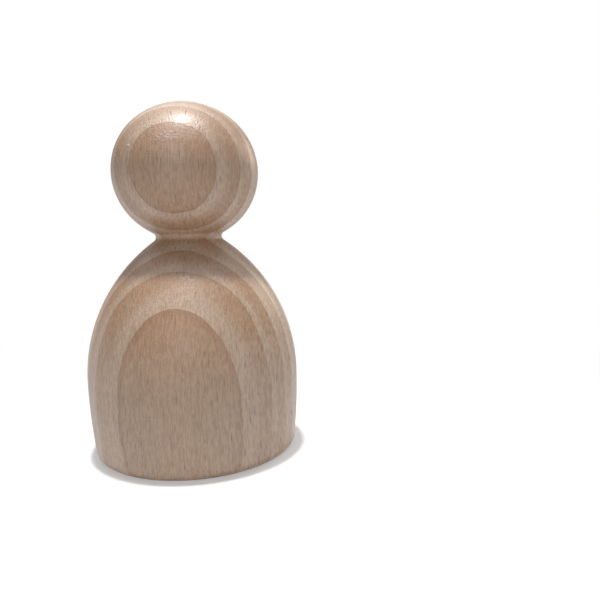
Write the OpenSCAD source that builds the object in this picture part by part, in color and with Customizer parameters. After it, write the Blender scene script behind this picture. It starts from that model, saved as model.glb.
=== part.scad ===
// Peg doll, turned in one piece from a single length of beech.
//
// The doll is one outline spun round its axis. From the top down that outline
// is a crown arc, a cheek arc, a chin arc, a small hollow at the neck, one long
// body arc, a foot arc and a rounded base edge. Each arc runs into the next
// without a corner, as a sharp gouge leaves it.
// The origin is the middle of the base, and the axis is +Z.

/* [Whole doll] */
// Height from the base to the top of the head
total_h = 90; // [80:1:110]

/* [Head] */
// Width of the head at its widest
head_w = 37.2; // [30:0.2:44]
// How much the radius of the crown and chin arcs is above half the head's width
crown_extra = 0.94; // [0.1:0.02:3]
// How much the radius of the cheek arc is below half the head's width
cheek_less = 1.6; // [0.2:0.1:4]

/* [Neck] */
// Width of the neck at its narrowest
neck_w = 17; // [10:0.5:24]
// Radius of the hollow between head and body
neck_hollow_r = 1.2; // [0.6:0.1:4]

/* [Body] */
// Width of the body at its widest
body_w = 54.6; // [46:0.2:64]
// Radius of the long arc from the widest ring up to the neck
body_arc_r = 43.3; // [36:0.1:60]
// Radius of the gentle arc from the widest ring down to the base
foot_arc_r = 147; // [80:1:300]
// Radius of the rounded edge round the base
base_edge_r = 2.5; // [0.5:0.1:5]

/* [Hidden] */
$fn = 240;

// Places are set in steps of this size and then by what is left over, which
// keeps enough digits for neighbouring arcs to meet without a ledge
place_step = 0.01;

// The head is an oval: a crown arc and a chin arc of one radius about centres
// on the axis, with the smaller cheek arc between them
head_r = head_w / 2;
crown_r = head_r + crown_extra;
cheek_r = head_r - cheek_less;
crown_drop = sqrt(pow(crown_r - cheek_r, 2) - pow(cheek_less, 2));
crown_z = total_h - crown_r;
head_z = crown_z + crown_drop;
chin_z = head_z + crown_drop;
cheek_rise = cheek_r * crown_drop / (crown_r - cheek_r);

// The neck hollow touches the chin arc above it and the body arc below it
neck_r = neck_w / 2;
hollow_x = neck_r + neck_hollow_r;
hollow_z = chin_z - sqrt(pow(crown_r + neck_hollow_r, 2) - pow(hollow_x, 2));
chin_end_z = chin_z - crown_r * (chin_z - hollow_z) / (crown_r + neck_hollow_r);

// The body arc stands upright at the widest ring and ends on the hollow
body_r = body_w / 2;
body_x = body_r - body_arc_r;
body_rise = sqrt(pow(body_arc_r + neck_hollow_r, 2) - pow(hollow_x - body_x, 2));
widest_z = hollow_z - body_rise;
shoulder_z = widest_z + body_arc_r * body_rise / (body_arc_r + neck_hollow_r);

// The foot arc leaves the widest ring upright, and the rounded edge takes over
// from it just above the base
foot_x = body_r - foot_arc_r;
edge_drop = widest_z - base_edge_r;
edge_x = foot_x + sqrt(pow(foot_arc_r - base_edge_r, 2) - pow(edge_drop, 2));
foot_end_z = widest_z - foot_arc_r * edge_drop / (foot_arc_r - base_edge_r);

// Moves its children to a place in the outline
module place(x, z) {
    coarse = [round(x / place_step) * place_step, round(z / place_step) * place_step];
    translate(coarse) translate([x, z] - coarse) children();
}

// A whole disc, of which the outline keeps one arc
module disc(x, z, r) {
    place(x, z) circle(r);
}

// All that lies to the right of the axis and above a height
module above(z) {
    place(0, z) square([body_w + head_w, total_h]);
}

// One slice of the outline: its children, from one height up to another
module slice(low_z, high_z) {
    difference() {
        intersection() {
            children();
            above(low_z);
        }
        above(high_z);
    }
}

module head_outline() {
    intersection() {
        disc(0, crown_z, crown_r);
        above(head_z + cheek_rise);
    }
    slice(head_z - cheek_rise, head_z + cheek_rise) disc(cheek_less, head_z, cheek_r);
    slice(chin_end_z, head_z - cheek_rise) disc(0, chin_z, crown_r);
}

module neck_outline() {
    slice(shoulder_z, chin_end_z) difference() {
        square([hollow_x, total_h]);
        disc(hollow_x, hollow_z, neck_hollow_r);
    }
}

module body_outline() {
    slice(widest_z, shoulder_z) disc(body_x, widest_z, body_arc_r);
    slice(foot_end_z, widest_z) disc(foot_x, widest_z, foot_arc_r);
}

module base_outline() {
    difference() {
        union() {
            place(edge_x, base_edge_r) circle(base_edge_r);
            square([edge_x, base_edge_r]);
        }
        above(foot_end_z);
    }
}

module turned_doll() {
    color("burlywood") rotate_extrude() {
        head_outline();
        neck_outline();
        body_outline();
        base_outline();
    }
}

turned_doll();
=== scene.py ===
"""Looks of a bare beech peg doll, turned in one piece.

The doll is one outline spun round its axis by a Geometry Nodes lathe. Its
finish is a solid block of beech: growth rings about a pith line in front of
the doll, rays that cross them, fibre along the grain, a few marks of use and
a satin sanded surface. The scratches in the scuffs, where the glints fall,
are painted pale as a highlight, and the wood is painted paler towards the
top of the head as a sheen. The doll, its finish and the camera are measured in
millimetres until they reach a mesh, and the studio round them in metres.
"""

import logging
import math
from dataclasses import dataclass
from enum import Enum
from typing import Any, ClassVar, Sequence, Union

import bpy
from mathutils import Matrix, Vector


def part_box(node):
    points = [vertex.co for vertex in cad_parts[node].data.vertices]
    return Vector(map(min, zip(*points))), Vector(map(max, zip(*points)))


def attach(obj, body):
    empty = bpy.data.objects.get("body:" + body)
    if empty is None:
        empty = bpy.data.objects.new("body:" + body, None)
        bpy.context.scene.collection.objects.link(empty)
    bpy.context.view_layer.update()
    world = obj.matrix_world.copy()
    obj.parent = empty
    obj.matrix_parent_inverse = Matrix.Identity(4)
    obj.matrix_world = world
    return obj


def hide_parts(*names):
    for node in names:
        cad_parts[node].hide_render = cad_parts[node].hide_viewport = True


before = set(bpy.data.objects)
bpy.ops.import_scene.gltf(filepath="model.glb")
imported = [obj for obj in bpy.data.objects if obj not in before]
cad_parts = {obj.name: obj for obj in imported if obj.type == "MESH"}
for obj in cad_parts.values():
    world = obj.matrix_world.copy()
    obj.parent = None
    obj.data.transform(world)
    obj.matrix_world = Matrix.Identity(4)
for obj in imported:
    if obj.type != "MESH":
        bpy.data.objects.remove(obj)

LOG = logging.getLogger("peg_doll")
MM = 0.001
NODE = "turned_doll"

# A noise swings about this value, and so does a ramp that holds signed numbers
MIDDLE = 0.5
WHITE = (1.0, 1.0, 1.0, 1.0)

Triple = tuple[float, float, float]
Colour = tuple[float, float, float]
Point = tuple[float, float]
Span = tuple[float, float]
Tones = Sequence[tuple[float, Colour]]
Number = Union["Sock", float]
Key = Union[int, str]
Sockets = Union[dict[str, Any], Sequence[Any]]


class MathOp(Enum):
    """What a Math node works out."""

    ADD = "ADD"
    SUBTRACT = "SUBTRACT"
    MULTIPLY = "MULTIPLY"
    DIVIDE = "DIVIDE"
    LESS_THAN = "LESS_THAN"
    FRACTION = "FRACT"
    ABSOLUTE = "ABSOLUTE"
    ROOT = "SQRT"
    ROUND = "ROUND"
    SINE = "SINE"
    COSINE = "COSINE"
    ANGLE = "ARCTAN2"


class VectorOp(Enum):
    """What a Vector Math node works out."""

    SUBTRACT = "SUBTRACT"
    MULTIPLY = "MULTIPLY"
    MULTIPLY_ADD = "MULTIPLY_ADD"
    LENGTH = "LENGTH"


class Blend(Enum):
    """How a second colour is laid over a first."""

    MIX = "MIX"
    MULTIPLY = "MULTIPLY"


class Curve(Enum):
    """How a ramp runs from one stop to the next."""

    STRAIGHT = "LINEAR"
    ROUNDED = "CARDINAL"


class Sock:
    """A node's output that can be written in sums, as a number can."""

    def __init__(self, tree: bpy.types.NodeTree, socket: bpy.types.NodeSocket) -> None:
        """Keeps an output socket and the tree that holds it."""
        self.tree = tree
        self.socket = socket

    def _math(self, operation: MathOp, *values: Number) -> "Sock":
        """The result of a Math node in the same tree."""
        return Nodes(self.tree).math(operation, *values)

    def __add__(self, other: Number) -> "Sock":
        """Sum."""
        return self._math(MathOp.ADD, self, other)

    def __radd__(self, other: Number) -> "Sock":
        """Sum with a number on the left."""
        return self._math(MathOp.ADD, other, self)

    def __sub__(self, other: Number) -> "Sock":
        """Difference."""
        return self._math(MathOp.SUBTRACT, self, other)

    def __rsub__(self, other: Number) -> "Sock":
        """Difference from a number on the left."""
        return self._math(MathOp.SUBTRACT, other, self)

    def __mul__(self, other: Number) -> "Sock":
        """Product."""
        return self._math(MathOp.MULTIPLY, self, other)

    def __rmul__(self, other: Number) -> "Sock":
        """Product with a number on the left."""
        return self._math(MathOp.MULTIPLY, other, self)

    def __truediv__(self, other: Number) -> "Sock":
        """Quotient."""
        return self._math(MathOp.DIVIDE, self, other)

    def __rtruediv__(self, other: Number) -> "Sock":
        """Quotient of a number on the left."""
        return self._math(MathOp.DIVIDE, other, self)

    def below(self, limit: float) -> "Sock":
        """1 below a limit and 0 above it."""
        return self._math(MathOp.LESS_THAN, self, limit)

    def fraction(self) -> "Sock":
        """What is left over past the last whole number."""
        return self._math(MathOp.FRACTION, self)

    def size(self) -> "Sock":
        """The value without its sign."""
        return self._math(MathOp.ABSOLUTE, self)

    def root(self) -> "Sock":
        """Square root."""
        return self._math(MathOp.ROOT, self)

    def clamped(self) -> "Sock":
        """The value held between 0 and 1."""
        return Nodes(self.tree).math(MathOp.ADD, self, 0.0, clamp=True)

    def step(self, low: float, high: float) -> "Sock":
        """Steps smoothly from 0 to 1.

        Args:
            low: Where the step starts.
            high: Where the step ends; it may be below low.

        Returns:
            The stepped value.
        """
        settings = {"interpolation_type": "SMOOTHSTEP"}
        values = (self, low, high, 0.0, 1.0)
        return Nodes(self.tree).add("ShaderNodeMapRange", settings, values)


class Nodes:
    """Adds nodes to a tree, settings first and then the sockets' values."""

    # The Mix node has a set of sockets for each kind of data, and these are the colours' own
    MIX_SHARE: ClassVar[int] = 0
    MIX_FIRST: ClassVar[int] = 6
    MIX_SECOND: ClassVar[int] = 7
    MIX_RESULT: ClassVar[int] = 2

    def __init__(self, tree: bpy.types.NodeTree) -> None:
        """Keeps the tree that nodes are added to."""
        self.tree = tree

    @classmethod
    def fresh(cls, owner: bpy.types.Material | bpy.types.World) -> "Nodes":
        """Empties the node tree of a new material or world.

        Args:
            owner: The material or world.

        Returns:
            The node adder of its tree.
        """
        owner.use_nodes = True
        owner.node_tree.nodes.clear()
        return cls(owner.node_tree)

    def node(self, kind: str, settings: dict[str, Any], sockets: Sockets = ()) -> bpy.types.Node:
        """Adds one node.

        Args:
            kind: The node's type name.
            settings: Its properties, set before its sockets; "stops" holds a
                ramp's stops and its curve.
            sockets: Values or links, in order or by socket name.

        Returns:
            The new node.
        """
        node = self.tree.nodes.new(kind)
        for name, value in settings.items():
            if name == "stops":
                self._fill_ramp(node.color_ramp, *value)
            else:
                setattr(node, name, value)
        pairs = sockets.items() if isinstance(sockets, dict) else enumerate(sockets)
        for key, value in pairs:
            self._put(node.inputs[key], value)
        return node

    def add(self, kind: str, settings: dict[str, Any], sockets: Sockets = (), out: Key = 0) -> Sock:
        """Adds one node and gives one of its outputs.

        Args:
            kind: The node's type name.
            settings: Its properties, set before its sockets.
            sockets: Values or links, in order or by socket name.
            out: The index or name of the output.

        Returns:
            The output.
        """
        return self.out(self.node(kind, settings, sockets), out)

    def out(self, node: bpy.types.Node, key: Key) -> Sock:
        """One output of a node, by its index or name."""
        return Sock(self.tree, node.outputs[key])

    def _put(self, socket: bpy.types.NodeSocket, value: Any) -> None:
        """Links or sets one input.

        Args:
            socket: The input socket.
            value: A link, or the value that the socket is set to.
        """
        if isinstance(value, Sock):
            self.tree.links.new(value.socket, socket)
        else:
            socket.default_value = value

    @staticmethod
    def _fill_ramp(ramp: bpy.types.ColorRamp, stops: Tones, curve: Curve) -> None:
        """Gives a ramp exactly these stops.

        Args:
            ramp: The ramp, with the stops of a new one.
            stops: Places from 0 to 1, each with its colour.
            curve: How it runs between them.
        """
        while len(ramp.elements) > 1:
            ramp.elements.remove(ramp.elements[-1])
        first, *others = stops
        ramp.elements[0].position = first[0]
        ramp.elements[0].color = (*first[1], 1.0)
        for place, colour in others:
            ramp.elements.new(place).color = (*colour, 1.0)
        ramp.interpolation = curve.value

    def math(self, operation: MathOp, *values: Number, clamp: bool = False) -> Sock:
        """Works out a number.

        Args:
            operation: What is worked out.
            values: The numbers and links that it is worked out from.
            clamp: Whether the result is held between 0 and 1.

        Returns:
            The result.
        """
        settings = {"operation": operation.value, "use_clamp": clamp}
        return self.add("ShaderNodeMath", settings, values)

    def vector_math(self, operation: VectorOp, *values: Any, out: str = "Vector") -> Sock:
        """Works out a vector, or a number about one.

        Args:
            operation: What is worked out.
            values: The vectors and links that it is worked out from.
            out: The name of the output.

        Returns:
            The result.
        """
        return self.add("ShaderNodeVectorMath", {"operation": operation.value}, values, out)

    def vector(self, x: Number, y: Number, z: Number) -> Sock:
        """Three values as one vector."""
        return self.add("ShaderNodeCombineXYZ", {}, (x, y, z))

    def parts(self, vector: Sock) -> tuple[Sock, Sock, Sock]:
        """The three values of a vector."""
        split = self.node("ShaderNodeSeparateXYZ", {}, (vector,))
        return self.out(split, "X"), self.out(split, "Y"), self.out(split, "Z")

    def place(self) -> Sock:
        """The shaded place in the object's own coordinates."""
        return self.add("ShaderNodeTexCoord", {}, out="Object")

    def stretched(self, place: Sock, scale: Triple) -> Sock:
        """A place scaled differently along each axis."""
        return self.vector_math(VectorOp.MULTIPLY, place, scale)

    def length(self, vector: Sock) -> Sock:
        """The length of a vector."""
        return self.vector_math(VectorOp.LENGTH, vector, out="Value")

    def reach(self, place: Sock, middle: Sock | Triple, scale: Triple) -> Sock:
        """How far a place is from a middle.

        Args:
            place: The place.
            middle: The middle that it is measured from.
            scale: What the distance counts for along each axis.

        Returns:
            The distance.
        """
        gap = self.vector_math(VectorOp.SUBTRACT, place, middle)
        return self.length(self.stretched(gap, scale))

    def ramp(self, value: Sock, stops: Tones, curve: Curve = Curve.STRAIGHT) -> Sock:
        """A colour that changes with a value.

        Args:
            value: The value, from 0 to 1.
            stops: Places from 0 to 1, each with its colour.
            curve: How the colour runs between them.

        Returns:
            The colour.
        """
        return self.add("ShaderNodeValToRGB", {"stops": (stops, curve)}, (value,))

    def glow(self, strength: Number) -> Sock:
        """White light of a strength, as a shader."""
        return self.add("ShaderNodeEmission", {}, {"Color": WHITE, "Strength": strength})

    def mix(
        self,
        share: Number,
        first: Sock | Colour,
        second: Sock | Colour,
        blend: Blend = Blend.MIX,
    ) -> Sock:
        """Two colours mixed.

        Args:
            share: How much of the second there is, from 0 to 1.
            first: The first colour.
            second: The second colour.
            blend: How the second is laid over the first.

        Returns:
            The mixed colour.
        """
        settings = {"data_type": "RGBA", "blend_type": blend.value, "clamp_factor": True}
        node = self.node("ShaderNodeMix", settings)
        self._put(node.inputs[self.MIX_SHARE], share)
        for key, colour in ((self.MIX_FIRST, first), (self.MIX_SECOND, second)):
            self._put(node.inputs[key], (*colour, 1.0) if isinstance(colour, tuple) else colour)
        return self.out(node, self.MIX_RESULT)

    def tinted(self, colour: Sock, tint: Sock | Colour) -> Sock:
        """A colour times a tint."""
        return self.mix(1.0, colour, tint, Blend.MULTIPLY)


@dataclass(frozen=True)
class Arc:
    """One arc of the outline, in the plane of radius and height.

    Attributes:
        centre: Its centre.
        radius: Its radius.
        start: The angle that it starts at, in radians above the level.
        end: The angle that it ends at.
    """

    # The shortest arc still has this many steps
    LEAST_STEPS: ClassVar[int] = 3

    centre: Point
    radius: float
    start: float
    end: float

    def points(self, spacing: float) -> list[Point]:
        """Points along the arc, its start left out.

        Args:
            spacing: The greatest distance between two points.

        Returns:
            The points, in order.
        """
        length = abs(self.end - self.start) * self.radius
        count = max(self.LEAST_STEPS, math.ceil(length / spacing))
        turn = (self.end - self.start) / count
        angles = [self.start + turn * (i + 1) for i in range(count)]
        x, z = self.centre
        return [
            (x + self.radius * math.cos(angle), z + self.radius * math.sin(angle))
            for angle in angles
        ]


@dataclass(frozen=True)
class DollOutline:
    """The sizes of the doll's outline, an unbroken run of seven arcs.

    The height and the width of the body come from the frame.

    Attributes:
        total_h: Height from the base to the top of the head.
        body_w: Width of the body at its widest.
        head_w: Width of the head at its widest.
        crown_extra: How much the radius of the crown and the chin is above
            half the head's width.
        cheek_less: How much the radius of the cheek is below that half.
        neck_w: Width of the neck at its narrowest.
        neck_hollow_r: Radius of the hollow between head and body.
        body_arc_r: Radius of the long arc from the widest ring up to the neck.
        foot_arc_r: Radius of the gentle arc from that ring down to the base.
        base_edge_r: Radius of the rounded edge round the base.
    """

    # Points on the flat of the base stand this much further apart, and an arc
    # has at least this many points to each length of its radius
    FLAT_COARSER: ClassVar[float] = 2.0
    POINTS_TO_RADIUS: ClassVar[float] = 6.0

    total_h: float
    body_w: float
    head_w: float = 37.2
    crown_extra: float = 0.94
    cheek_less: float = 1.6
    neck_w: float = 17.0
    neck_hollow_r: float = 1.2
    body_arc_r: float = 43.3
    foot_arc_r: float = 147.0
    base_edge_r: float = 2.5

    def arcs(self) -> list[Arc]:
        """Works out the arcs, each of which runs into the next without a corner.

        Returns:
            The arcs from the flat of the base up to the top of the head.
        """
        crown_r = self.head_w / 2 + self.crown_extra
        cheek_r = self.head_w / 2 - self.cheek_less
        drop = math.sqrt((crown_r - cheek_r) ** 2 - self.cheek_less**2)
        crown = (0.0, self.total_h - crown_r)
        cheek = (self.cheek_less, crown[1] + drop)
        chin = (0.0, cheek[1] + drop)

        hollow_x = self.neck_w / 2 + self.neck_hollow_r
        chin_reach = crown_r + self.neck_hollow_r
        hollow = (hollow_x, chin[1] - math.sqrt(chin_reach**2 - hollow_x**2))
        body_x = self.body_w / 2 - self.body_arc_r
        body_reach = self.body_arc_r + self.neck_hollow_r
        rise = math.sqrt(body_reach**2 - (hollow_x - body_x) ** 2)
        body = (body_x, hollow[1] - rise)
        foot = (self.body_w / 2 - self.foot_arc_r, body[1])
        foot_reach = self.foot_arc_r - self.base_edge_r
        edge_drop = foot[1] - self.base_edge_r
        edge = (foot[0] + math.sqrt(foot_reach**2 - edge_drop**2), self.base_edge_r)

        cheek_turn = math.atan2(drop, self.cheek_less)
        foot_turn = math.asin(edge_drop / foot_reach)
        body_turn = math.acos((hollow_x - body_x) / body_reach)
        chin_turn = math.acos(hollow_x / chin_reach)
        return [
            Arc(edge, self.base_edge_r, -math.pi / 2, -foot_turn),
            Arc(foot, self.foot_arc_r, -foot_turn, 0.0),
            Arc(body, self.body_arc_r, 0.0, body_turn),
            Arc(hollow, self.neck_hollow_r, math.pi + body_turn, math.pi - chin_turn),
            Arc(chin, crown_r, -chin_turn, -cheek_turn),
            Arc(cheek, cheek_r, -cheek_turn, cheek_turn),
            Arc(crown, crown_r, cheek_turn, math.pi / 2),
        ]

    def points(self, spacing: float) -> list[Point]:
        """The whole outline, from the middle of the base to the crown.

        Args:
            spacing: The greatest distance between two points above the base.

        Returns:
            Points as radius and height.
        """
        arcs = self.arcs()
        flat_r = arcs[0].centre[0]
        flat_steps = math.ceil(flat_r / (spacing * self.FLAT_COARSER))
        points = [(flat_r * i / flat_steps, 0.0) for i in range(flat_steps + 1)]
        for arc in arcs:
            points += arc.points(min(spacing, arc.radius / self.POINTS_TO_RADIUS))
        points[-1] = (0.0, self.total_h)
        return points


class Lathe:
    """A Geometry Nodes tree that spins an outline round the Z axis."""

    OUTLINE: ClassVar[str] = "Outline"
    AROUND: ClassVar[str] = "Steps Around"
    FINISH: ClassVar[str] = "Finish"
    TURNED: ClassVar[str] = "Turned"

    # The sheet that is rolled up is this wide and high, and its points that
    # come to lie closer than the weld become one, both in metres
    SHEET: ClassVar[float] = 1.0
    WELD: ClassVar[float] = 1e-6

    def __init__(self) -> None:
        """Builds the tree."""
        self.tree = bpy.data.node_groups.new("lathe", "GeometryNodeTree")
        self.inputs: dict[str, str] = {}
        self._name_sockets()
        self._add_nodes()

    def _name_sockets(self) -> None:
        """Gives the tree its inputs and its output, and keeps the inputs' identifiers."""
        face = self.tree.interface
        for name, kind in (
            (self.OUTLINE, "NodeSocketGeometry"),
            (self.AROUND, "NodeSocketInt"),
            (self.FINISH, "NodeSocketMaterial"),
        ):
            self.inputs[name] = face.new_socket(name, in_out="INPUT", socket_type=kind).identifier
        face.new_socket(self.TURNED, in_out="OUTPUT", socket_type="NodeSocketGeometry")

    def _add_nodes(self) -> None:
        """Rolls up a sheet: each of its rows is one point of the outline, spun round."""
        nodes = Nodes(self.tree)
        given = nodes.node("NodeGroupInput", {})
        outline = nodes.out(given, self.OUTLINE)
        around = nodes.out(given, self.AROUND)
        finish = nodes.out(given, self.FINISH)

        component = {"component": "MESH"}
        rows = nodes.add("GeometryNodeAttributeDomainSize", component, (outline,), "Point Count")
        size = {"Size X": self.SHEET, "Size Y": self.SHEET}
        counts = {"Vertices X": around + 1, "Vertices Y": rows}
        sheet = nodes.add("GeometryNodeMeshGrid", {}, {**size, **counts}, "Mesh")

        place = nodes.add("GeometryNodeInputPosition", {})
        x, y, _ = nodes.parts(place)
        across = x + self.SHEET / 2
        along = y + self.SHEET / 2
        row = nodes.math(MathOp.ROUND, along * (rows - 1))
        kept = {"data_type": "FLOAT_VECTOR", "domain": "POINT"}
        source = {"Geometry": outline, "Value": place, "Index": row}
        radius, _, height = nodes.parts(nodes.add("GeometryNodeSampleIndex", kept, source))
        turn = across * math.tau
        cosine = nodes.math(MathOp.COSINE, turn)
        sine = nodes.math(MathOp.SINE, turn)
        spun = nodes.vector(radius * cosine, radius * sine, height)

        moved = nodes.add("GeometryNodeSetPosition", {}, {"Geometry": sheet, "Position": spun})
        weld = {"Geometry": moved, "Distance": self.WELD}
        closed = nodes.add("GeometryNodeMergeByDistance", {}, weld)
        smooth = nodes.add("GeometryNodeSetShadeSmooth", {}, {"Geometry": closed})
        real = nodes.add("GeometryNodeRealizeInstances", {}, (smooth,))
        dressed = nodes.add("GeometryNodeSetMaterial", {}, {"Geometry": real, "Material": finish})
        nodes.node("NodeGroupOutput", {}, {self.TURNED: dressed})

    def turn(
        self,
        name: str,
        points: Sequence[Point],
        around: int,
        finish: bpy.types.Material,
    ) -> bpy.types.Object:
        """Turns an outline into a mesh object.

        Args:
            name: The new object's name.
            points: The outline in millimetres.
            around: Steps round the axis.
            finish: The material.

        Returns:
            A plain mesh object at the origin, in metres.
        """
        wire = bpy.data.meshes.new("outline")
        edges = [(i, i + 1) for i in range(len(points) - 1)]
        wire.from_pydata([(r * MM, 0.0, z * MM) for r, z in points], edges, [])
        blank = bpy.data.objects.new("outline", wire)
        bpy.context.scene.collection.objects.link(blank)
        spin = blank.modifiers.new("lathe", "NODES")
        spin.node_group = self.tree
        spin[self.inputs[self.AROUND]] = around
        spin[self.inputs[self.FINISH]] = finish
        graph = bpy.context.evaluated_depsgraph_get()
        mesh = bpy.data.meshes.new_from_object(blank.evaluated_get(graph))
        bpy.data.objects.remove(blank)
        mesh.name = name
        piece = bpy.data.objects.new(name, mesh)
        bpy.context.scene.collection.objects.link(piece)
        return piece


@dataclass(frozen=True)
class Noise:
    """Fractal noise that changes at a rate of its own along each axis.

    Attributes:
        rates: About how many times it changes in a millimetre of each axis.
        detail: How many finer layers are added to the first.
        rough: How much each of those counts, beside the one before it.
    """

    rates: Triple
    detail: float = 1.0
    rough: float = 0.5

    def read(self, nodes: Nodes, place: Sock) -> Sock:
        """Reads the noise.

        Args:
            nodes: The tree's node adder.
            place: The place that it is read at.

        Returns:
            A value from 0 to 1 that swings about the middle.
        """
        spot = nodes.stretched(place, self.rates)
        grade = {"Scale": 1.0, "Detail": self.detail, "Roughness": self.rough}
        return nodes.add("ShaderNodeTexNoise", {}, {"Vector": spot, **grade})


@dataclass(frozen=True)
class Mark:
    """A small mark on the surface.

    Attributes:
        middle: Where its middle is.
        half: Half of its size along each axis.
    """

    # The mark has its full strength within this share of its size
    FULL_TO: ClassVar[float] = 0.25

    middle: Triple
    half: Triple

    def read(self, nodes: Nodes, place: Sock) -> Sock:
        """Reads how much of the mark is at a place.

        Args:
            nodes: The tree's node adder.
            place: The place in the doll.

        Returns:
            1 in the mark's middle, and 0 outside it.
        """
        scale = tuple(1.0 / size for size in self.half)
        return nodes.reach(place, self.middle, scale).step(1.0, self.FULL_TO)


@dataclass(frozen=True)
class Spot:
    """The shaded place, as it lies in the doll and in the tree that grew it.

    Attributes:
        place: The place in the doll.
        block: The place in the tree's own measures, as one vector: the way
            round the pith, the way out from it and the height.
        out: The way out from the pith.
        high: The height.
    """

    place: Sock
    block: Sock
    out: Sock
    high: Sock


@dataclass(frozen=True)
class Rays:
    """One set of the wood's rays, thin lens-shaped sheets that point at the pith.

    Attributes:
        cell: The room that each ray has round the pith, out from it and up.
        half: Half of a ray's size, in the same order.
        strength: How much of a ray's colour covers the wood.
        shift: How far the cells are moved, to set them apart from other rays.
    """

    # A ray has its full strength within this share of its size, and the luck
    # of its cell sets that strength over this span
    FULL_TO: ClassVar[float] = 0.35
    LUCK: ClassVar[Span] = (0.2, 1.0)

    cell: Triple
    half: Triple
    strength: float
    shift: float = 0.0

    def read(self, nodes: Nodes, block: Sock) -> Sock:
        """Reads how much of a ray is at a place.

        Args:
            nodes: The tree's node adder.
            block: The place in the tree's own measures.

        Returns:
            The strength in the middle of a lucky ray, and 0 outside all rays.
        """
        fit = tuple(1.0 / room for room in self.cell)
        spot = nodes.vector_math(VectorOp.MULTIPLY_ADD, block, fit, (self.shift,) * 3)
        cells = nodes.node("ShaderNodeTexVoronoi", {}, {"Vector": spot, "Scale": 1.0})
        scale = tuple(room / size for room, size in zip(self.cell, self.half))
        near = nodes.reach(spot, nodes.out(cells, "Position"), scale).step(1.0, self.FULL_TO)
        luck, _, _ = nodes.parts(nodes.out(cells, "Color"))
        return near * luck.step(*self.LUCK) * self.strength


@dataclass(frozen=True)
class Grain:
    """Where the doll lies in the tree.

    The growth rings are cylinders about the pith, a line that stands in front
    of the doll and leans a little.

    Attributes:
        pith_x: Where the pith stands to the right, at the middle height.
        pith_y: Where it stands to the back, at the middle height.
        lean_x: How far it leans to the right in each millimetre up.
        lean_y: How far it leans to the back in each millimetre up.
        mid_h: The middle height.
        top_h: The height of the block.
        years: How far from the pith the years start, each where the one
            before it ends.
        later_year: How wide each year past those is.
        bows: Heights, each with how far the rings swing outwards there.
        bow_reach: The widest bow that the ramp can hold.
        slow_swing: Where the rings drift slowly.
        slow_reach: How far they drift.
        quick_swing: Where the rings waver.
        quick_reach: How far they waver.
        depths: Heights, each with how strongly the rings are coloured there.
    """

    pith_x: float = -25.5
    pith_y: float = -137.9
    lean_x: float = -0.068
    lean_y: float = 0.016
    mid_h: float = 45.0
    top_h: float = 90.0
    years: tuple[float, ...] = (98.0, 118.1, 124.7, 130.0, 134.7)
    later_year: float = 5.6
    bows: tuple[Point, ...] = (
        (0.0, 0.5), (13.5, 0.05), (24.0, -0.4), (33.0, -0.45), (40.0, -0.2), (44.5, -0.6),
        (48.0, -1.35), (53.0, -1.75), (57.7, 0.15), (61.5, 0.75), (65.0, 0.6), (73.0, 0.3),
        (81.0, 0.15), (87.0, -0.35),
    )
    bow_reach: float = 2.0
    slow_swing: Noise = Noise((0.06, 0.06, 0.04))
    slow_reach: float = 0.4
    quick_swing: Noise = Noise((0.4, 0.4, 0.12))
    quick_reach: float = 0.12
    depths: tuple[Point, ...] = (
        (0.0, 0.30), (14.0, 0.32), (24.0, 0.45), (30.0, 0.62), (36.0, 0.9), (41.0, 1.0),
        (62.0, 1.0), (67.0, 0.75), (72.0, 0.55), (76.0, 0.7), (82.0, 1.0),
    )

    def spot(self, nodes: Nodes, place: Sock) -> Spot:
        """Finds a place of the doll in the tree.

        Args:
            nodes: The tree's node adder.
            place: The place in the doll.

        Returns:
            The place in both.
        """
        x, y, z = nodes.parts(place)
        high = z - self.mid_h
        across = x - self.pith_x
        leant = across - high * self.lean_x
        ahead = y - self.pith_y - high * self.lean_y
        out = (leant * leant + ahead * ahead).root()
        # The way round is measured where the second year starts
        around = nodes.math(MathOp.ANGLE, across, ahead) * self.years[1]
        return Spot(place, nodes.vector(around, out, z), out, z)

    def by_height(
        self,
        nodes: Nodes,
        spot: Spot,
        stops: Tones,
        curve: Curve = Curve.STRAIGHT,
    ) -> Sock:
        """A colour that changes with height.

        Args:
            nodes: The tree's node adder.
            spot: The shaded place.
            stops: Heights, each with its colour.
            curve: How the colour runs between them.

        Returns:
            The colour.
        """
        shares = [(height / self.top_h, colour) for height, colour in stops]
        return nodes.ramp(spot.high / self.top_h, shares, curve)

    def depth(self, nodes: Nodes, spot: Spot) -> Sock:
        """How strongly the rings are coloured at a place, from 0 to 1."""
        return self.by_height(nodes, spot, [(h, (depth,) * 3) for h, depth in self.depths])

    def year(self, nodes: Nodes, spot: Spot) -> Sock:
        """Finds how far through its year a place grew.

        Args:
            nodes: The tree's node adder.
            spot: The shaded place.

        Returns:
            The share of the year, from 0 to 1.
        """
        out = self._bowed(nodes, spot)
        share = ((out - self.years[-1]) / self.later_year).fraction()
        for start, end in reversed(list(zip(self.years, self.years[1:]))):
            share = share + out.below(end) * ((out - start) / (end - start) - share)
        return share

    def _bowed(self, nodes: Nodes, spot: Spot) -> Sock:
        """Allows for the rings' bows and their small swings.

        Args:
            nodes: The tree's node adder.
            spot: The shaded place.

        Returns:
            The way out from the pith that the rings are read at.
        """
        span = 2 * self.bow_reach
        stops = [(height, (MIDDLE + bow / span,) * 3) for height, bow in self.bows]
        bow = (self.by_height(nodes, spot, stops, Curve.ROUNDED) - MIDDLE) * span
        slow = (self.slow_swing.read(nodes, spot.place) - MIDDLE) * self.slow_reach
        quick = (self.quick_swing.read(nodes, spot.place) - MIDDLE) * self.quick_reach
        return spot.out - bow + slow + quick


@dataclass(frozen=True)
class Relief:
    """How far each pattern stands out of the surface, as a share of the bump."""

    fine: float = 0.4
    sand: float = 0.8
    rays: float = -0.4
    turning: float = 0.2
    scratches: float = 0.4
    nick: float = 2.0


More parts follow.
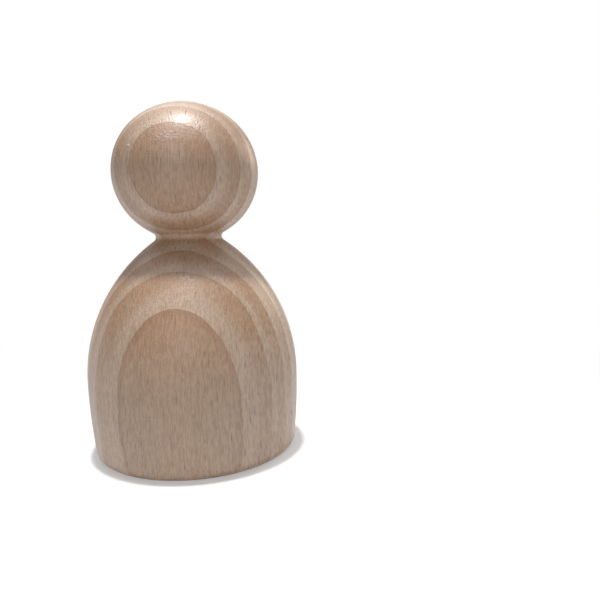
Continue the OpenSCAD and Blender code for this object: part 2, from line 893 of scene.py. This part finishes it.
@dataclass(frozen=True)
class Patterns:
    """The patterns that both the colour and the surface follow, each from 0 to 1.

    Attributes:
        year: How far through its year the wood grew.
        fine: The fine fibre.
        sand: What the sanding left.
        rays: How much of a ray there is.
        scratches: How much of a scratch there is; in the scuffs, where the glints fall, it also
            sets the painted highlight.
        nick: How much of the nick there is.
    """

    year: Sock
    fine: Sock
    sand: Sock
    rays: Sock
    scratches: Sock
    nick: Sock


@dataclass(frozen=True)
class Beech:
    """Bare beech with a sanded satin surface, as a solid block.

    A field that ends in span holds the values at which a pattern starts to
    show and shows in full. One that ends in share tells how much a pattern
    counts among the fibre, and one that ends in strength how much of the
    wood a mark's colour covers.
    """

    grain: Grain = Grain()

    # Tones at shares of a year, from its early wood to the last of its late wood
    year_tones: Tones = (
        (0.22, (0.560, 0.404, 0.291)),
        (0.42, (0.490, 0.317, 0.206)),
        (0.60, (0.446, 0.275, 0.167)),
        (0.955, (0.420, 0.247, 0.144)),
    )
    # Tones at heights of the doll, which show where the rings are faint; from the middle of the
    # head up to its top they turn paler, a painted sheen there
    faint_ring_and_sheen_tones: Tones = (
        (10.0, (0.490, 0.352, 0.250)),
        (35.0, (0.500, 0.340, 0.230)),
        (60.0, (0.480, 0.320, 0.215)),
        (72.0, (0.438, 0.285, 0.189)),
        # Painted sheen: the paler tone at the top of the head
        (82.0, (0.500, 0.345, 0.245)),
    )
    # A thin dark line ends each year
    year_line: Colour = (0.90, 0.83, 0.79)
    year_line_span: Span = (0.95, 0.985)

    # Broad clouds turn the wood a little pink or grey
    cloud: Noise = Noise((0.045, 0.045, 0.02))
    cloud_span: Span = (0.3, 0.7)
    pink: Colour = (1.01, 0.985, 0.975)
    grey: Colour = (0.985, 1.0, 1.005)

    # Fibre runs along the grain, and sanding leaves an even speckle
    long: Noise = Noise((2.4, 1.0, 0.11))
    fine: Noise = Noise((3.4, 1.2, 0.48), rough=0.6)
    sand: Noise = Noise((2.3, 2.3, 2.3), rough=0.6)
    long_share: float = 0.26
    fine_share: float = 0.54
    sand_share: float = 0.20
    fibre_span: Span = (0.39, 0.61)
    fibre_dark: Colour = (0.84, 0.80, 0.76)
    fibre_light: Colour = (1.13, 1.16, 1.18)

    # Rays are cut across on the front, where they show as short upright dashes
    large_rays: Rays = Rays(cell=(0.82, 2.6, 3.6), half=(0.11, 1.2, 1.6), strength=0.85)
    small_rays: Rays = Rays(
        cell=(0.48, 2.0, 2.0), half=(0.10, 0.9, 0.85), strength=0.4, shift=37.0
    )
    ray: Colour = (0.46, 0.32, 0.24)

    # Marks of use: scratches inside the scuffs, a nick, a scored line and a dark streak; the scuffs
    # sit where the glints fall, and their pale scratches are real scratches and a painted highlight
    # there
    glint_scuffs: tuple[Mark, ...] = (
        Mark((-0.6, -17.8, 46.7), (3.4, 3.4, 2.0)),
        Mark((-4.0, -16.5, 78.9), (4.6, 3.0, 1.8)),
        Mark((0.6, -15.9, 81.6), (3.6, 3.0, 0.8)),
    )
    # A scratch lies where the flow comes this near to its middle
    scratch_flow: Noise = Noise((0.45, 0.2, 1.5), detail=2.0, rough=0.6)
    scratch_half: float = 0.06
    nick: Mark = Mark((-13.04, -12.19, 77.42), (0.65, 0.65, 0.4))
    score: Mark = Mark((-12.5, -24.0, 15.6), (9.0, 6.0, 0.13))
    # Pale colour of the scratches, the nick and the scored line; in the scuffs it is also a painted
    # highlight
    scratch_and_glint: Colour = (0.66, 0.55, 0.46)
    scratch_and_glint_strength: float = 0.85
    nick_strength: float = 0.6
    score_strength: float = 0.3
    dark_streak: Mark = Mark((-25.75, -9.0, 18.7), (0.5, 0.5, 3.0))
    streak: Colour = (0.30, 0.20, 0.15)
    streak_strength: float = 0.75

    # A satin surface, rougher in late wood, under a thin coat of wax
    roughness: float = 0.47
    late_roughness: float = 0.08
    late_span: Span = (0.5, 0.75)
    fine_roughness: float = 0.3
    gloss: float = 0.9
    wax: float = 0.28
    wax_roughness: float = 0.30
    # The lathe leaves faint rings, and a pattern of full relief is as high as the bump
    turning: Noise = Noise((3.0, 3.0, 3.0), detail=2.0, rough=0.7)
    relief: Relief = Relief()
    bump: float = 0.13

    def material(self) -> bpy.types.Material:
        """Builds the finish.

        Returns:
            The material.
        """
        finish = bpy.data.materials.new("beech")
        nodes = Nodes.fresh(finish)
        spot = self.grain.spot(nodes, nodes.stretched(nodes.place(), (1.0 / MM,) * 3))
        patterns = self._patterns(nodes, spot)
        sockets = {
            "Base Color": self._colour(nodes, spot, patterns),
            "Roughness": self._roughness(patterns),
            "Specular IOR Level": self.gloss,
            "Normal": self._normal(nodes, spot, patterns),
            "Coat Weight": self.wax,
            "Coat Roughness": self.wax_roughness,
        }
        shader = nodes.add("ShaderNodeBsdfPrincipled", {}, sockets)
        nodes.node("ShaderNodeOutputMaterial", {}, {"Surface": shader})
        return finish

    def _patterns(self, nodes: Nodes, spot: Spot) -> Patterns:
        """Reads the patterns that more than one socket follows.

        Args:
            nodes: The tree's node adder.
            spot: The shaded place.

        Returns:
            The patterns.
        """
        large = self.large_rays.read(nodes, spot.block)
        small = self.small_rays.read(nodes, spot.block)
        return Patterns(
            year=self.grain.year(nodes, spot),
            fine=self.fine.read(nodes, spot.block),
            sand=self.sand.read(nodes, spot.place),
            rays=(large + small).clamped(),
            scratches=self._glint_scratches(nodes, spot),
            nick=self.nick.read(nodes, spot.place),
        )

    def _glint_scratches(self, nodes: Nodes, spot: Spot) -> Sock:
        """Short crossing scratches inside the scuffs, where the glints fall and their pale colour
        is partly a painted highlight.

        Args:
            nodes: The tree's node adder.
            spot: The shaded place.

        Returns:
            How much of a scratch is at the place, from 0 to 1.
        """
        flow = self.scratch_flow.read(nodes, spot.block)
        ridge = (flow - MIDDLE).size().step(self.scratch_half, 0.0)
        return ridge * sum(scuff.read(nodes, spot.place) for scuff in self.glint_scuffs)

    def _rings(self, nodes: Nodes, spot: Spot, year: Sock) -> Sock:
        """Colours the wood by its growth rings.

        Args:
            nodes: The tree's node adder.
            spot: The shaded place.
            year: How far through its year the place grew.

        Returns:
            The colour.
        """
        ringed = nodes.ramp(year, self.year_tones)
        mean = self.grain.by_height(nodes, spot, self.faint_ring_and_sheen_tones)
        wood = nodes.mix(self.grain.depth(nodes, spot), mean, ringed)
        lined = nodes.tinted(wood, self.year_line)
        return nodes.mix(year.step(*self.year_line_span), wood, lined)

    def _colour(self, nodes: Nodes, spot: Spot, patterns: Patterns) -> Sock:
        """Colours the wood, from its rings to the marks on its surface and the painted highlight in
        the scuffs.

        Args:
            nodes: The tree's node adder.
            spot: The shaded place.
            patterns: The patterns at that place.

        Returns:
            The base colour.
        """
        wood = self._rings(nodes, spot, patterns.year)
        cloud = self.cloud.read(nodes, spot.place).step(*self.cloud_span)
        wood = nodes.tinted(wood, nodes.mix(cloud, self.pink, self.grey))

        fibre = self.long.read(nodes, spot.block) * self.long_share
        fibre = fibre + patterns.fine * self.fine_share + patterns.sand * self.sand_share
        shade = nodes.mix(fibre.step(*self.fibre_span), self.fibre_dark, self.fibre_light)
        wood = nodes.tinted(wood, shade)
        wood = nodes.mix(patterns.rays, wood, nodes.tinted(wood, self.ray))

        streak = self.dark_streak.read(nodes, spot.place) * self.streak_strength
        wood = nodes.mix(streak, wood, self.streak)
        # The scratches, the nick and the scored line turn pale; in the scuffs this is also a
        # painted highlight
        worn_and_glint = patterns.scratches * self.scratch_and_glint_strength + patterns.nick * self.nick_strength
        worn_and_glint = worn_and_glint + self.score.read(nodes, spot.place) * self.score_strength
        return nodes.mix(worn_and_glint, wood, self.scratch_and_glint)

    def _roughness(self, patterns: Patterns) -> Sock:
        """The roughness, higher in late wood and uneven along the fibre."""
        late = patterns.year.step(*self.late_span) * self.late_roughness
        return self.roughness + late + (patterns.fine - MIDDLE) * self.fine_roughness

    def _normal(self, nodes: Nodes, spot: Spot, patterns: Patterns) -> Sock:
        """Raises the surface by its fibre, rays, turning marks and scratches.

        Args:
            nodes: The tree's node adder.
            spot: The shaded place.
            patterns: The patterns at that place.

        Returns:
            The normal.
        """
        radius = nodes.length(nodes.stretched(spot.place, (1.0, 1.0, 0.0)))
        turning = self.turning.read(nodes, nodes.vector(radius, 0.0, spot.high))
        height = (
            patterns.fine * self.relief.fine
            + patterns.sand * self.relief.sand
            + patterns.rays * self.relief.rays
            + turning * self.relief.turning
            + patterns.scratches * self.relief.scratches
            + patterns.nick * self.relief.nick
        )
        sockets = {"Strength": 1.0, "Distance": self.bump * MM, "Height": height}
        return nodes.add("ShaderNodeBump", {}, sockets)


@dataclass(frozen=True)
class TurnedDoll:
    """The doll itself: one turned piece.

    Attributes:
        outline: The outline that is spun.
        finish: The wood.
        spacing: The greatest distance between two points of the outline.
        around: Steps round the axis.
    """

    outline: DollOutline
    finish: Beech
    spacing: float = 0.55
    around: int = 256

    def build(self) -> bpy.types.Object:
        """Turns the doll, dresses it and seats it on its frame.

        Returns:
            The finished piece.
        """
        points = self.outline.points(self.spacing)
        piece = Lathe().turn("beech_doll", points, self.around, self.finish.material())
        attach(piece, "root")
        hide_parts(NODE)
        return piece


@dataclass(frozen=True)
class Viewpoint:
    """The camera, in millimetres and degrees.

    Attributes:
        distance: How far in front of the doll's axis it stands.
        height: How high it stands.
        turned_right: How far it is turned to the right of the doll's axis.
        tipped_down: How far it is tipped below level.
        rolled: How far it is rolled about its own line of sight.
        focal_pixels: Its focal length in pixels of the photograph.
        image_pixels: The photograph's width in pixels.
        sensor: The width of its sensor.
        nearest: The nearest that it can see.
        farthest: The farthest that it can see.
    """

    # The tip at which a camera looks level
    LEVEL: ClassVar[float] = 90.0

    distance: float = 151.57
    height: float = 55.63
    turned_right: float = 10.91
    tipped_down: float = 6.54
    rolled: float = -1.46
    focal_pixels: float = 562.8
    image_pixels: float = 600.0
    sensor: float = 36.0
    nearest: float = 5.0
    farthest: float = 20000.0

    def build(self) -> bpy.types.Object:
        """Makes the scene's camera.

        Returns:
            The camera.
        """
        data = bpy.data.cameras.new("viewpoint")
        data.sensor_width = self.sensor
        data.lens = self.focal_pixels / self.image_pixels * self.sensor
        data.clip_start = self.nearest * MM
        data.clip_end = self.farthest * MM
        camera = bpy.data.objects.new("viewpoint", data)
        turn = Matrix.Rotation(-math.radians(self.turned_right), 4, "Z")
        tip = Matrix.Rotation(math.radians(self.LEVEL - self.tipped_down), 4, "X")
        roll = Matrix.Rotation(math.radians(self.rolled), 4, "Z")
        stand = Matrix.Translation((0.0, -self.distance * MM, self.height * MM))
        camera.matrix_world = stand @ turn @ tip @ roll
        bpy.context.scene.collection.objects.link(camera)
        bpy.context.scene.camera = camera
        return camera


@dataclass(frozen=True)
class Lamp:
    """A flat round lamp, in metres.

    Attributes:
        name: Its name.
        place: Where it hangs.
        size: Its width.
        watts: Its power.
        colour: The colour of its light.
        aim: The point that it faces, most often the middle of the doll.
    """

    name: str
    place: Triple
    size: float
    watts: float
    colour: Colour
    aim: Triple = (0.0, 0.0, 0.045)

    def build(self) -> bpy.types.Object:
        """Makes the lamp.

        Returns:
            The lamp.
        """
        data = bpy.data.lights.new(self.name, "AREA")
        data.shape = "DISK"
        data.size = self.size
        data.energy = self.watts
        data.color = self.colour
        lamp = bpy.data.objects.new(self.name, data)
        away = Vector(self.place) - Vector(self.aim)
        lamp.rotation_mode = "QUATERNION"
        lamp.rotation_quaternion = away.to_track_quat("Z", "Y")
        lamp.location = self.place
        bpy.context.scene.collection.objects.link(lamp)
        return lamp


@dataclass(frozen=True)
class Studio:
    """Pale paper on a grey table, a white room and lamps, in metres.

    To the camera the room is white, and so is the floor away from the doll's
    shadow.

    Attributes:
        floor_half: Half of the floor's width.
        paper_tone: The colour of the paper round the doll.
        table_tone: The colour of the table past the paper.
        paper_edge: How far from the doll the one turns into the other.
        floor_glow: How much light the floor seems to give near the doll.
        white_span: How far from the doll the floor turns white.
        sky: How much light the room gives.
        wall_foot: The rise of a direction over which the walls start.
        wall_top: The rise over which they end and the ceiling starts.
        walls_dimmed: How much of the walls is left out of a gloss.
        lamps: The lamps.
    """

    floor_half: float = 1.5
    paper_tone: Colour = (0.88, 0.90, 0.94)
    table_tone: Colour = (0.76, 0.77, 0.80)
    paper_edge: Span = (0.18, 0.30)
    floor_glow: float = 0.30
    white_span: Span = (0.06, 0.20)
    sky: float = 0.03
    wall_foot: Span = (0.0, 0.25)
    wall_top: Span = (0.60, 0.36)
    walls_dimmed: float = 0.80

    # Each has its name, place, size, watts and colour, and the left card aims lower
    lamps: tuple[Lamp, ...] = (
        Lamp("overhead", (-0.013, -0.024, 0.52), 0.04, 1.70, (1.0, 0.99, 0.97)),
        Lamp("overhead_left", (-0.13, -0.012, 0.51), 0.12, 0.18, (1.0, 0.985, 0.97)),
        Lamp("overhead_right", (0.12, -0.012, 0.51), 0.12, 0.16, (1.0, 0.985, 0.96)),
        Lamp("window", (-0.28, -1.05, 0.52), 0.50, 2.0, (0.97, 0.98, 1.0)),
        Lamp("right_wall", (1.00, -0.70, 0.10), 0.70, 1.7, (0.98, 0.98, 1.0)),
        Lamp("left_card", (-0.45, -0.40, 0.05), 0.30, 0.14, (0.84, 0.94, 1.0), (0.0, 0.0, 0.02)),
        Lamp("ceiling_behind", (-0.15, 0.75, 0.95), 0.80, 1.0, (0.96, 0.98, 1.0)),
        Lamp("right_behind", (0.74, 0.56, 0.36), 0.38, 1.55, (1.0, 0.90, 0.76)),
    )

    def build(self) -> None:
        """Sets the floor, the world, the lamps and the plain view of colours."""
        self._floor()
        self._world()
        for lamp in self.lamps:
            lamp.build()
            LOG.info("lamp %s: %.2f W", lamp.name, lamp.watts)
        bpy.context.scene.view_settings.view_transform = "Standard"

    def _seen(self, nodes: Nodes, mirrored: Number = 1.0) -> Sock:
        """Tells what the camera sees from what lights the doll.

        Args:
            nodes: The tree's node adder.
            mirrored: How much shows of what is seen in a gloss or through glass.

        Returns:
            1 for what the camera sees, and 0 for light.
        """
        path = nodes.node("ShaderNodeLightPath", {})
        direct = nodes.out(path, "Is Camera Ray")
        glossy = nodes.out(path, "Is Glossy Ray")
        through = nodes.out(path, "Is Transmission Ray")
        return (direct + (glossy + through) * mirrored).clamped()

    def _floor(self) -> None:
        """Lays the floor under the base."""
        half = self.floor_half
        mesh = bpy.data.meshes.new("floor")
        corners = [(-half, -half, 0.0), (half, -half, 0.0), (half, half, 0.0), (-half, half, 0.0)]
        mesh.from_pydata(corners, [], [(0, 1, 2, 3)])
        mesh.materials.append(self._floor_paint())
        floor = bpy.data.objects.new("floor", mesh)
        bpy.context.scene.collection.objects.link(floor)

    def _floor_paint(self) -> bpy.types.Material:
        """Paints the paper and the table, white to the camera away from the doll.

        Returns:
            The material.
        """
        paint = bpy.data.materials.new("floor_paint")
        nodes = Nodes.fresh(paint)
        seen = self._seen(nodes)
        away = nodes.length(nodes.place())
        tone = nodes.mix(away.step(*self.paper_edge), self.paper_tone, self.table_tone)
        matt = nodes.add("ShaderNodeBsdfDiffuse", {}, {"Color": tone})
        near = nodes.add("ShaderNodeAddShader", {}, (matt, nodes.glow(seen * self.floor_glow)))
        white = seen * away.step(*self.white_span)
        paper = nodes.add("ShaderNodeMixShader", {}, (white, near, nodes.glow(1.0)))
        nodes.node("ShaderNodeOutputMaterial", {}, {"Surface": paper})
        return paint

    def _world(self) -> None:
        """Sets a faint light all round that is white to the camera."""
        world = bpy.data.worlds.new("soft_light")
        bpy.context.scene.world = world
        nodes = Nodes.fresh(world)
        _, _, rise = nodes.parts(nodes.place())
        walls = rise.step(*self.wall_foot) * rise.step(*self.wall_top) * self.walls_dimmed
        seen = self._seen(nodes, 1.0 - walls)
        strength = seen * (1.0 - self.sky) + self.sky
        sky = nodes.add("ShaderNodeBackground", {}, {"Color": WHITE, "Strength": strength})
        nodes.node("ShaderNodeOutputWorld", {}, {"Surface": sky})


def main() -> None:
    """Builds the camera, the doll and the studio."""
    logging.basicConfig(level=logging.INFO, format="%(name)s: %(message)s")
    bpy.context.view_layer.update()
    camera = Viewpoint().build()
    LOG.info("%s: %.1f mm lens", camera.name, camera.data.lens)
    low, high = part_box(NODE)
    outline = DollOutline(total_h=(high.z - low.z) / MM, body_w=2 * high.x / MM)
    piece = TurnedDoll(outline, Beech()).build()
    LOG.info("%s: %d faces", piece.name, len(piece.data.polygons))
    Studio().build()


if __name__ == "__main__":
    main()
